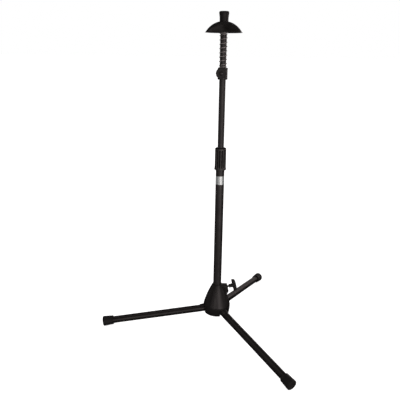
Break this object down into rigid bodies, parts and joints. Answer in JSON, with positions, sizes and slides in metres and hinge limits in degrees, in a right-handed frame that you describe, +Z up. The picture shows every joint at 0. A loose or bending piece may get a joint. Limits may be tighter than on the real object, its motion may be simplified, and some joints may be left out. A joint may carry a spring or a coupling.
{
  "type": "trombone stand",
  "caption": "Folding brass-instrument stand: tubular legs on a clamp hub, telescoping pole with a twist grip, and a sprung domed bell rest with a plug.",
  "frame": {"origin": "on the floor under the middle of the stand's box", "axes": "+Z up along the pole, -X along one leg, so the pole stands towards +X of the origin; +Y towards the leg at the back"},
  "size_m": [0.491, 0.5648, 0.8339],
  "materials": {
    "black_paint": "semi-gloss black powder coat on steel tube",
    "black_plastic": "moulded, satin",
    "black_rubber": "matt",
    "dark_nylon": "moulded, satin",
    "blackened_steel": "black oxide, slightly worn"
  },
  "bodies": {
    "hub": {"hub_base": "black_plastic", "hub_cover": "black_plastic", "hub_screw_1": "blackened_steel", "hub_screw_2": "blackened_steel", "hub_screw_3": "blackened_steel", "leg_pin_1": "blackened_steel", "leg_pin_2": "blackened_steel", "leg_pin_3": "blackened_steel", "clamp_nut": "blackened_steel"},
    "leg_1": {"leg_knuckle_1": "dark_nylon", "leg_tube_1": "black_paint", "foot_cap_1": "black_rubber"},
    "leg_2": {"leg_knuckle_2": "dark_nylon", "leg_tube_2": "black_paint", "foot_cap_2": "black_rubber"},
    "leg_3": {"leg_knuckle_3": "dark_nylon", "leg_tube_3": "black_paint", "foot_cap_3": "black_rubber"},
    "mast": {"mast_tube": "black_paint", "mast_end_stop": "dark_nylon", "clutch_ferrule": "dark_nylon"},
    "clamp_shoe": {"clamp_shoe": "dark_nylon"},
    "wing_screw": {"wing_stud": "blackened_steel", "wing_handle": "black_plastic"},
    "clutch_ring": {"clutch_ring": "dark_nylon"},
    "clutch_grip": {"clutch_grip": "black_plastic"},
    "collet": {"clutch_collet": "dark_nylon"},
    "extension": {"extension_tube": "black_paint", "extension_glide": "dark_nylon", "tube_top_bush": "dark_nylon"},
    "collar": {"spring_collar": "black_plastic", "bell_spring": "blackened_steel"},
    "collar_pad": {"collar_pad": "dark_nylon"},
    "thumb_screw": {"thumb_stud": "blackened_steel", "thumb_knob": "black_plastic"},
    "rest_washer": {"rest_washer": "blackened_steel"},
    "bell_rest": {"bell_plug": "black_rubber", "bell_dome": "black_rubber", "bell_rod": "blackened_steel", "dome_spacer": "black_plastic", "rod_clip": "blackened_steel"}
  },
  "joints": [
    {"name": "leg_fold_1", "type": "hinge", "parent": "hub", "child": "leg_1", "pos_m": [0.04992, 0, 0.0568], "axis": [0, 1, 0], "range_deg": [-81.4, 0]},
    {"name": "leg_fold_2", "type": "hinge", "parent": "hub", "child": "leg_2", "pos_m": [0.08742, -0.02165, 0.0568], "axis": [-0.866, -0.5, 0], "range_deg": [-81.4, 0]},
    {"name": "leg_fold_3", "type": "hinge", "parent": "hub", "child": "leg_3", "pos_m": [0.08742, 0.02165, 0.0568], "axis": [0.866, -0.5, 0], "range_deg": [-81.4, 0]},
    {"name": "mast_slide", "type": "slide", "parent": "hub", "child": "mast", "axis": [0, 0, 1], "range_m": [-0.25, 0]},
    {"name": "clamp_travel", "type": "slide", "parent": "hub", "child": "clamp_shoe", "axis": [0.9681, 0, 0.2504], "range_m": [0, 0.0015]},
    {"name": "clamp_turn", "type": "hinge", "parent": "clamp_shoe", "child": "wing_screw", "pos_m": [0.07492, 0, 0.1143], "axis": [0.9681, 0, 0.2504], "range_deg": [0, 540]},
    {"name": "clutch_travel", "type": "slide", "parent": "mast", "child": "clutch_ring", "axis": [0, 0, 1], "range_m": [0, 0.001]},
    {"name": "clutch_turn", "type": "hinge", "parent": "clutch_ring", "child": "clutch_grip", "pos_m": [0.07492, 0, 0.4735], "axis": [0, 0, 1], "range_deg": [0, 240]},
    {"name": "mast_swivel", "type": "hinge", "parent": "mast", "child": "collet", "pos_m": [0.07492, 0, 0.49], "axis": [0, 0, 1], "continuous": true},
    {"name": "extension_slide", "type": "slide", "parent": "collet", "child": "extension", "axis": [0, 0, 1], "range_m": [-0.13, 0.16]},
    {"name": "collar_slide", "type": "slide", "parent": "extension", "child": "collar", "axis": [0, 0, 1], "range_m": [-0.03, 0]},
    {"name": "collar_screw_travel", "type": "slide", "parent": "collar", "child": "collar_pad", "axis": [-0.2045, -0.9789, 0], "range_m": [0, 0.0015]},
    {"name": "collar_screw_turn", "type": "hinge", "parent": "collar_pad", "child": "thumb_screw", "pos_m": [0.07492, 0, 0.6944], "axis": [-0.2045, -0.9789, 0], "range_deg": [0, 540]},
    {"name": "rest_slide", "type": "slide", "parent": "extension", "child": "rest_washer", "axis": [0, 0, 1], "range_m": [-0.02, 0], "stiffness_N_per_m": 1200, "springref_m": 0.005, "deforming": ["bell_spring"]},
    {"name": "bell_spin", "type": "hinge", "parent": "rest_washer", "child": "bell_rest", "pos_m": [0.07492, 0, 0.8], "axis": [0, 0, 1], "continuous": true}
  ],
  "couplings": [
    {"joint": "clutch_travel", "follows": "clutch_turn", "m_per_rad": 0.00023871},
    {"joint": "collar_screw_travel", "follows": "collar_screw_turn", "m_per_rad": 0.00015914},
    {"joint": "clamp_travel", "follows": "clamp_turn", "m_per_rad": 0.00015914}
  ]
}
